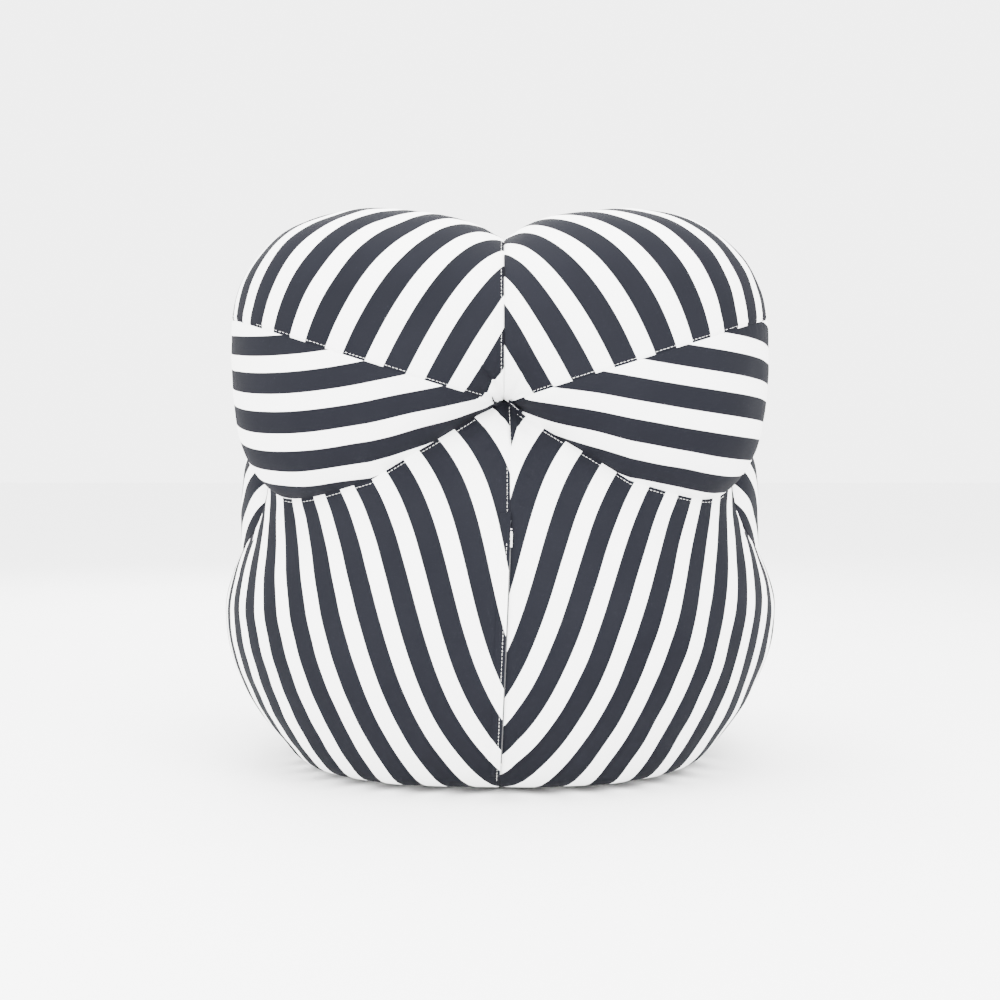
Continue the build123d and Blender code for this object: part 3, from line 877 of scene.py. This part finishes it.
def zip_tape_material():
    """Narrow herringbone tape."""
    k = Nodes("zip_tape", 0.8)
    ribs = k.math("PINGPONG", k.times(k.axis("X"), 1 / 0.0022), 0.5)
    slant = k.math("SINE", k.plus(k.times(k.axis("Z"), 2 * math.pi / 0.0009),
                                  k.times(ribs, 9.0)))
    share = k.times(k.plus(slant, 1.0), 0.5)
    k.set("Base Color", k.mix(share, (0.020, 0.021, 0.025, 1), (0.045, 0.047, 0.054, 1)))
    k.bump(slant, 0.5, 0.0002)
    k.set("Sheen Weight", 0.1)
    return k.mat


def zip_coil_material():
    """A nylon spiral: one tooth every 1.4 mm."""
    k = Nodes("zip_coil", 0.35)
    teeth = k.math("PINGPONG", k.times(k.axis("Z"), 1 / 0.0014), 0.5)
    crest = k.ramp_between(teeth, 0.1, 0.4)
    k.set("Base Color", k.mix(crest, (0.012, 0.012, 0.014, 1), (0.050, 0.051, 0.056, 1)))
    k.bump(teeth, 1.0, 0.0007)
    return k.mat


def thread_material():
    k = Nodes("thread", 0.6)
    values = {"Scale": 900.0, "Distortion": 1.0, "Vector": k.place()}
    twist = k.add("TexWave", values, bands_direction="DIAGONAL").outputs["Fac"]
    k.set("Base Color", k.mix(twist, (0.70, 0.70, 0.68, 1), (0.90, 0.90, 0.88, 1)))
    k.bump(twist, 0.5, 0.0002)
    k.set("Sheen Weight", 0.2)
    return k.mat


def label_material():
    k = Nodes("label_cloth", 0.45)
    warp = k.wave(k.axis("X"), 0.0005)
    k.set("Base Color", k.mix(k.noise(50.0, 2.0), (0.86, 0.86, 0.84, 1), (0.78, 0.78, 0.76, 1)))
    k.bump(warp, 0.3, 0.0001)
    return k.mat


MATERIALS = {
    "striped_cloth": striped_material(), "foam": foam_material(), "plywood": plywood_material(),
    "glide_plastic": plastic_material(), "grip_tape": hook_tape_material(), "zip_tape": zip_tape_material(),
    "screw_steel": metal_material("screw_steel", (0.62, 0.61, 0.58, 1), 0.30),
    "zip_metal": metal_material("zip_metal", (0.80, 0.79, 0.76, 1), 0.24),
    "zip_coil": zip_coil_material(), "thread": thread_material(), "label_cloth": label_material(),
}
NODE_SLOTS = {
    "base_board": "plywood", "glide_screws": "screw_steel", "blank_label": "label_cloth",
    "zip_tape": "zip_tape", "zip_chain": "zip_coil",
    "zip_top_stop": "zip_metal", "zip_bottom_stop": "zip_metal", "zip_slider": "zip_metal",
    "zip_pull_tab": "zip_metal", "zip_thread_tack": "thread",
    "glide": "glide_plastic", "grip_strip": "grip_tape",
}


def dress_cad_nodes():
    for name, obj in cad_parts.items():
        slots = [s for start, s in NODE_SLOTS.items() if name.startswith(start)]
        if not slots:
            continue
        obj.data.materials.clear()
        obj.data.materials.append(MATERIALS[slots[0]])


def finish_piece(obj, slot, nodes=(), body="chair"):
    obj.data.materials.clear()
    obj.data.materials.append(MATERIALS[slot])
    for f in obj.data.polygons:
        f.material_index = 0
        f.use_smooth = True
    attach(obj, body)
    if nodes:
        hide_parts(*nodes)


# ---------------------------------------------------------------------------------------------
# The cover. A cut is (angle, pitch, start, centre, bends), fitted by least squares to the places of
# the stripes seen in the photo for the panels of the rear, and plain for the rest.
# ---------------------------------------------------------------------------------------------
LOW_MID, UP_MID, BAND_MID = (0.05, 0.37), (0.31, 0.18), (0.32, -0.01)
LOWER_CUT = {1: (173.7, 0.06285, 0.484, LOW_MID, (-1.0, 6.0, 3.2, 0.5, 21.0, -13.2, 29.0)),
             -1: (173.6, 0.06152, -0.245, LOW_MID, (-1.8, 4.7, 1.6, 5.5, 19.1, -14.5, 33.1))}
UPPER_CUT = {1: (21.8, 0.06539, -0.265, UP_MID, (-2.5, 8.3, 8.1)),
             -1: (21.6, 0.06807, 0.196, UP_MID, (0.3, 8.5, 4.1))}
LAST_WHITE = {"left": -4.06, "right": -3.06}    # the cloth that would follow it is gathered into the pinch
BAND_CUT = {1: (71.03, 0.06814, 0.119, BAND_MID, (5.6, 5.6, 4.5)),
            -1: (68.3, 0.06995, -0.438, BAND_MID, (9.0, 5.4, -2.7))}


def plain_cut(angle, start=0.0, bends=(), centre=(0.2, 0.2)):
    return (angle, PITCH, start, centre, bends)


def cover_panels():
    belly_mid, panels = (0, 0.1, 0.3), []
    for side, word in SIDES:
        lobe_mid = (side * 0.20, LOBE_YC, LOBE_ZC)
        arm_mid = (side * ARM_XC, -0.12, ARM_ZC)

        def add(stem, grid, cut, centre, seams, hem=False, fill=0.95):
            names = f"cloth_{stem}_{word}", f"cover_{stem}_{word}"
            panels.append(Panel(*names, grid, cut, centre, seams, hem, fill))

        add("lower_back", lower_back_grid(side), LOWER_CUT[side], belly_mid, ("first", "last"), hem=True)
        add("upper_back", upper_back_grid(side), UPPER_CUT[side], lobe_mid, ("first", "low"))
        add("band", band_grid(side), BAND_CUT[side], lobe_mid, ("high",))
        add("upper_front", upper_back_grid(side, front=True), UPPER_CUT[side], lobe_mid, ("first", "low"))
        add("inner_back", inner_back_grid(side), BAND_CUT[side], lobe_mid, ("high",))
        seat_cut, tub_mid = plain_cut(8.0, 0.25), (0, -0.1, 0.2)
        add("front", front_grid(side), seat_cut, tub_mid, ("first", "last", "high"), hem=True)
        add("seat", seat_grid(side), seat_cut, tub_mid, ("first", "low"))
        add("arm_outer", arm_grid(side, True), plain_cut(-48.0), arm_mid, ("low", "high"))
        add("arm_inner", arm_grid(side, False), plain_cut(-17.0), arm_mid, ("low", "high"))
    lumbar = Panel("cloth_lumbar", "cover_lumbar", lumbar_grid(), plain_cut(0.0, 0.5), (0, 0.2, 0.42), ())
    return panels + [lumbar]


def closed_arc(arc, shift):
    """A rounded outline closed by a straight row of points, and moved along Y."""
    straight = arc[-1] + (arc[0] - arc[-1]) * np.linspace(0, 1, 24)[1:-1, None]
    return np.concatenate([arc, straight]) + [0, shift, 0]


def belly_rings(inset, top=BELLY_TOP - 0.006, n=64):
    phi = np.linspace(-np.pi / 2, np.pi / 2, n)
    low = BODY_Z0 + FOAM_LIFT * inset
    levels = np.concatenate([np.linspace(low, top - 0.05, 26), np.linspace(top - 0.04, top, 6)])
    return [closed_arc(belly_point(phi, z, inset), 0.0005 + inset * 0.4) for z in levels]


def tub_rings(inset, n=56, back=0.0):
    phi = np.linspace(-np.pi / 2, np.pi / 2, n)
    low = BODY_Z0 + FOAM_LIFT * inset
    levels = np.concatenate([np.linspace(low, SEAT_START, 14)[:-1], SEAT_START + np.linspace(0, 0.93, 12)])
    return [closed_arc(tub_point(phi, level, inset), back) for level in levels]


def lobe_rings(side, inset, n=64):
    th = np.linspace(0, 2 * np.pi, n, endpoint=False)
    rings = []
    for x in x_levels(0.002 + inset / 3, LOBE_XC + LOBE_OUT - 0.004, 34):
        ring = lobe_point(x + 0 * th, th, inset)
        ring[:, 0] -= inset * smooth((x - LOBE_XC) / LOBE_OUT)
        rings.append(mirrored(ring, side))
    return rings


def arm_rings(side, inset, n=48):
    th = np.linspace(0, 2 * np.pi, n, endpoint=False)
    return [mirrored(arm_point(a + 0 * th, th, inset), side) for a in np.linspace(-1.47, 1.47, 34)]


RETURN_LOW, RETURN_TOP, RETURN_WIDE = SEAT_START - 0.09, 0.45, 0.11
RETURN_FACES = (0.0012, 0.0030)


def build_shaded_return(side, word):
    """The turn of the cover in the hollow between the lower back, the seat and the arm, all in the dark
    stripe's colour as painted shade.
    """
    z = np.linspace(RETURN_LOW, RETURN_TOP, 40)[:, None]
    t = np.linspace(0, 1, 12)[None, :]
    x = side * (body_half_width(z) - 0.002 - RETURN_WIDE * t)
    faces = [np.stack([x, y + 0 * x, z + 0 * x], -1) for y in RETURN_FACES]
    # Painted shade: every point sits at 0.5 across the stripes, the dark stripe's colour, so the recessed
    # turn shows as a dark strip of shade instead of stripes.
    cloth = np.stack([0.5 + 0 * x, z / PITCH + 0 * x], -1)
    finish_piece(shell(f"cloth_shaded_side_return_{word}", *faces, cloth), "striped_cloth")


def build_cover():
    panels = cover_panels()
    cutters = [closed_loft("cut_belly", belly_rings(0.0)), closed_loft("cut_tub", tub_rings(0.0))]
    for side, word in SIDES:
        cutters.append(closed_loft(f"cut_lobe_{word}", lobe_rings(side, 0.0)))
        build_shaded_return(side, word)
    for panel in panels:
        obj = panel.build()
        if "_arm_" in panel.name:
            cut_away(obj, cutters[:2] + [cutters[2 if "left" in panel.name else 3]])
        finish_piece(obj, "striped_cloth", [panel.node])
    return panels, cutters


def build_foam(cutters):
    belly, tub, *lobes = cutters
    board = np.array(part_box("base_board")[1]) + BOARD_GAP
    lower = closed_loft("foam_block_lower", belly_rings(FOAM_INSET, top=0.60))
    seat = closed_loft("foam_block_seat", tub_rings(FOAM_INSET, back=-0.0006))
    t = np.linspace(0, 2 * np.pi, 64, endpoint=False)
    r = polar(t, 9.0)
    x, y = board[0] * r * np.cos(t), board[1] * r * np.sin(t)
    pocket = closed_loft("cut_board", [np.stack([x, y, 0 * t + z], 1) for z in (BODY_Z0 - 0.01, board[2])])
    cut_away(lower, [pocket])
    cut_away(seat, [pocket])
    finish_piece(lower, "foam", ["foam_lower_back"])
    finish_piece(seat, "foam", ["foam_seat"])
    for (side, word), lobe in zip(SIDES, lobes):
        upper = closed_loft(f"foam_block_upper_{word}", lobe_rings(side, FOAM_INSET))
        cut_away(upper, [belly])
        finish_piece(upper, "foam", [f"foam_upper_back_{word}"])
        arm = closed_loft(f"foam_block_arm_{word}", arm_rings(side, FOAM_INSET))
        cut_away(arm, [belly, tub, lobe])
        finish_piece(arm, "foam", [f"foam_arm_{word}"])
    for obj in [pocket] + cutters:
        bpy.data.objects.remove(obj)


# ---------------------------------------------------------------------------------------------
# Sewn details on the rear
# ---------------------------------------------------------------------------------------------
STITCH_PITCH, STITCH_LEN, STITCH_R = 0.0060, 0.0050, 0.00030
PLACKET_OVER, PLACKET_WIDE, PLACKET_LIFT = 0.0006, 0.0170, 0.0049


class RearSurface:
    """Finds the cloth's outer face at a place (x, z), from the finished panels."""

    def __init__(self, panels):
        points = np.concatenate([p.outer.reshape(-1, 3) for p in panels])
        self.points = points[points[:, 1] > 0.15]
        self.tree = KDTree(len(self.points))
        for i, p in enumerate(self.points):
            self.tree.insert((p[0], 0.0, p[2]), i)
        self.tree.balance()

    def y(self, x, z):
        found = self.tree.find_n((x, 0.0, z), 4)
        w = np.array([1 / (f[2] + 1e-5) ** 2 for f in found])
        return float((self.points[[f[1] for f in found], 1] * w).sum() / w.sum())


def rear_frame(x, z, lift=0.0, surface=None):
    """A point on the rear surface and its outward normal."""
    e = 0.002
    y = surface.y(x, z) if surface else rear_y(x, z)
    slopes = [rear_y(x + i, z + k) - rear_y(x - i, z - k) for i, k in ((e, 0), (0, e))]
    n = np.array([-slopes[0] / (2 * e), 1.0, -slopes[1] / (2 * e)])
    n /= np.linalg.norm(n)
    return np.array([x, float(y), z]) + lift * n, n


def tube_mesh(path, radii, sides=8):
    """Vertices and faces of a round bar along a path, closed at both ends."""
    path = np.asarray(path, float)
    along = unit(np.gradient(path, axis=0))
    ref = unit(np.cross(along, [0.31, 0.52, 0.79]))
    other = np.cross(along, ref)
    t = np.linspace(0, 2 * np.pi, sides, endpoint=False)
    circle = ref[:, None] * np.cos(t)[None, :, None] + other[:, None] * np.sin(t)[None, :, None]
    rings = path[:, None] + np.asarray(radii)[:, None, None] * circle
    verts = np.concatenate([rings.reshape(-1, 3), path[:1], path[-1:]])
    return verts, tube_faces(len(path), sides)


def stitches(name, line, lift, surface=None):
    """A row of stitches along a line of (x, z) places on the rear; each dives into the cloth at its ends."""
    line = np.asarray(line, float)
    lengths = np.concatenate([[0], np.cumsum(np.linalg.norm(np.diff(line, axis=0), axis=1))])
    verts, faces = [], []
    for s in np.arange(0.5 * STITCH_PITCH, lengths[-1] - STITCH_LEN, STITCH_PITCH):
        ends = []
        for t in np.linspace(0, 1, 7):
            at = s + STITCH_LEN * t
            x, z = np.interp(at, lengths, line[:, 0]), np.interp(at, lengths, line[:, 1])
            bow = lift + 0.0002 - 0.0008 * (2 * t - 1) ** 4
            ends.append(rear_frame(x, z, bow, surface)[0])
        v, f = tube_mesh(ends, STITCH_R * np.array([0.55, 0.85, 1, 1, 1, 0.85, 0.55]))
        base = sum(len(q) for q in verts)
        verts.append(v)
        faces += [tuple(i + base for i in q) for q in f]
    finish_piece(add_mesh(name, np.concatenate(verts), faces), "thread")


def lap_cloth(points, panel, rows=16):
    """Cloth coordinates of the panel under a strip that runs up its seam."""
    out = np.zeros(points.shape[:-1] + (2,))
    for i, j in np.ndindex(points.shape[:2]):
        x, z = points[i, j, 0], points[i, j, 2]
        across = [np.interp(z, panel.points[k, :, 2], panel.points[k, :, 0]) for k in range(rows)]
        for c in (0, 1):
            out[i, j, c] = np.interp(x, across, [np.interp(z, panel.points[k, :, 2], panel.cloth[k, :, c])
                                                 for k in range(rows)])
    return out


def build_placket(panel):
    """The lap of the left panel over the zip, standing just clear of the slider's roof."""
    low, high = (math.radians(a) for a in (ZIP_LOW_ANGLE - 1.0, ZIP_TOP_ANGLE + 1.4))
    angle = np.linspace(low, high, 150)[:, None]
    off = np.array([-PLACKET_OVER, 0, 0.0012, 0.0028, 0.0048, 0.0070, 0.0092, 0.0112, 0.0132, 0.0150, 0.0164,
                    PLACKET_WIDE])[None, :]
    lift = 0.0012 + (PLACKET_LIFT - 0.0012) * smooth((0.0145 - off) / 0.0075)
    lift = lift + 0.00035 * ripple((angle - low) * BELLY_R, 5) * smooth((0.012 - off) / 0.01)
    lift = lift * smooth((angle - low) / 0.02) * smooth((high - angle) / 0.02) + 0.0009
    sewn = 0.0006 * np.exp(-((off - 0.0045) / 0.0012) ** 2)
    r = BELLY_R + lift - sewn

    def surface(extra):
        z = BELLY_ZC + (r + extra) * np.sin(angle)
        return np.stack([seam_x(z) + off + 0 * angle, BELLY_YC + (r + extra) * np.cos(angle), z], -1)

    outer, inner = surface(0.0007), surface(0.0)
    obj = shell("cloth_placket", outer, inner, lap_cloth(outer, panel))
    finish_piece(obj, "striped_cloth", ["zip_placket"])


def patch(name, upper, lower, lift, cloth, thick=0.0010, n=24, m=10):
    """A small piece of cloth on the rear between two lines of (x, z) places."""
    upper, lower = np.asarray(upper, float), np.asarray(lower, float)
    t = np.linspace(0, 1, n)

    def along(line):
        share = np.linspace(0, 1, len(line))
        return np.stack([np.interp(t, share, line[:, 0]), np.interp(t, share, line[:, 1])], 1)

    a, b = along(upper), along(lower)
    outer = np.zeros((n, m, 3))
    inner = np.zeros((n, m, 3))
    for i, end in enumerate(np.sin(np.pi * t).clip(0) ** 0.4):
        for j, s in enumerate(np.linspace(0, 1, m)):
            x, z = a[i] + (b[i] - a[i]) * s
            crown = lift * (0.35 + 0.65 * max(math.sin(math.pi * s), 0) ** 0.6 * end)
            point, normal = rear_frame(x, z)
            outer[i, j] = point + crown * normal
            inner[i, j] = point + (crown - thick) * normal
    uv = np.stack([0 * outer[..., 0] + cloth, outer[..., 2] / PITCH], -1)
    finish_piece(shell(name, outer, inner, uv), "striped_cloth")


def build_rear_details(panels):
    by_name = {p.name: p for p in panels}
    left = by_name["cloth_lower_back_left"]
    build_placket(left)
    levels = np.linspace(0.030, 0.432, 60)
    stitches("stitches_placket", np.stack([seam_x(levels) + 0.0045, levels], 1), PLACKET_LIFT + 0.0011)
    levels = np.linspace(0.474, 0.560, 12)
    line = np.stack([seam_x(levels) + 0.0048, levels], 1)
    stitches("stitches_above_zip", line, 0.0002, RearSurface([left]))
    for side, word in SIDES:
        upper, lower = by_name[f"cloth_upper_back_{word}"], by_name[f"cloth_lower_back_{word}"]
        low_edge = upper.outer[6:, 0]
        low_edge = low_edge[np.abs(low_edge[:, 0]) < 0.40]
        stitches(f"stitches_seam_{word}", low_edge[:, [0, 2]] + [0, 0.0042], 0.0001, RearSurface([upper]))
        top = lower.outer[:, -1]
        top = top[(np.abs(top[:, 0]) > 0.024) & (np.abs(top[:, 0]) < 0.385)]
        stitches(f"stitches_crease_{word}", top[:, [0, 2]] - [0, 0.0112], 0.0001, RearSurface([lower]))
    upper = by_name["cloth_upper_back_left"]
    z = np.linspace(0.925, 0.700, 40)
    line = np.stack([0 * z + UPPER_SEAM_X + 0.0042, z], 1)
    stitches("stitches_upper_seam", line, 0.0001, RearSurface([upper]))
    patch("cloth_gusset", [(-0.0143, 0.658), (-0.0220, 0.652), (-0.0366, 0.639)],
          [(-0.0155, 0.630), (-0.0170, 0.600), (-0.0180, 0.582)], 0.0016, 0.5)
    stitches("stitches_gusset_side", [(-0.0150, 0.650), (-0.0160, 0.620), (-0.0176, 0.588)], 0.0010)
    stitches("stitches_gusset_top", [(-0.0160, 0.655), (-0.0240, 0.648), (-0.0350, 0.638)], 0.0012)
    patch("cloth_pinch_tuck", [(0.0142, 0.6650), (0.0105, 0.6570), (0.0035, 0.6545), (-0.0040, 0.6560)],
          [(0.0144, 0.6600), (0.0115, 0.6500), (0.0040, 0.6450), (-0.0040, 0.6490)], 0.0085, 0.5)
    thread_loop()


def thread_loop():
    """The stitching's loose end: a small loop that stands off the cloth beside the zip's top."""
    t = np.linspace(0, 1, 40)
    places = []
    for s in t:
        x = seam_x(0.46) + 0.0048 + 0.0030 * math.sin(2 * math.pi * s) + 0.0012 * math.sin(5 * s)
        z = 0.470 - 0.0235 * math.sin(math.pi * s) ** 0.8
        places.append(rear_frame(x, z, 0.0014 + 0.0030 * math.sin(math.pi * s))[0])
    bar = tube_mesh(places, np.full(len(places), 0.00035))
    finish_piece(add_mesh("thread_end", *bar), "thread")


# ---------------------------------------------------------------------------------------------
# Floor, light and camera
# ---------------------------------------------------------------------------------------------
CAMERA_FAR, CAMERA_UP, AIM_Z, LENS = 3.4, 2.53, 0.4748, 65.62
FLOOR_HALF, WORLD_STRENGTH = 14.0, 5.0
# name, place, aim, watts, width
LAMPS = (
    ("key", (-1.4, 3.2, 3.0), (0, 0.2, 0.55), 330, 2.2), ("fill", (2.6, 2.6, 1.8), (0, 0.2, 0.5), 210, 2.4),
    ("top", (0.0, 0.2, 3.2), (0, 0.1, 0.5), 200, 2.6), ("front", (0.8, -3.2, 2.4), (0, 0, 0.5), 190, 2.4),
)


def build_stage():
    k = Nodes("studio_floor", 0.75)
    k.set("Base Color", k.mix(k.noise(3.0, 2.0), (0.90, 0.90, 0.90, 1), (0.88, 0.88, 0.88, 1)))
    k.set("Specular IOR Level", 0.2)
    t = np.linspace(-FLOOR_HALF, FLOOR_HALF, 15)
    verts = [(x, y, 0.0) for x in t for y in t]
    floor = add_mesh("studio_floor", verts, grid_faces(15, 15), k.mat)
    world = bpy.data.worlds.new("studio")
    world.use_nodes = True
    background = world.node_tree.nodes["Background"]
    background.inputs["Color"].default_value = (1.0, 1.0, 1.0, 1)
    background.inputs["Strength"].default_value = WORLD_STRENGTH
    bpy.context.scene.world = world
    for name, spot, aim, energy, width in LAMPS:
        lamp = bpy.data.lights.new(name, "AREA")
        lamp.energy, lamp.size = energy, width
        obj = bpy.data.objects.new(name, lamp)
        bpy.context.scene.collection.objects.link(obj)
        point_at(obj, spot, aim)


def point_at(obj, spot, aim):
    obj.location = spot
    obj.rotation_euler = (Vector(aim) - Vector(spot)).to_track_quat("-Z", "Y").to_euler()


def build_camera():
    data = bpy.data.cameras.new("camera")
    data.lens, data.sensor_width = LENS, 36.0
    obj = bpy.data.objects.new("camera", data)
    bpy.context.scene.collection.objects.link(obj)
    up = math.radians(CAMERA_UP)
    spot = (0.0, CAMERA_FAR * math.cos(up), 0.48 + CAMERA_FAR * math.sin(up))
    point_at(obj, spot, (0.0, 0.0, AIM_Z))
    bpy.context.scene.camera = obj


build_camera()
build_stage()
dress_cad_nodes()
all_panels, all_cutters = build_cover()
build_foam(all_cutters)
build_rear_details(all_panels)
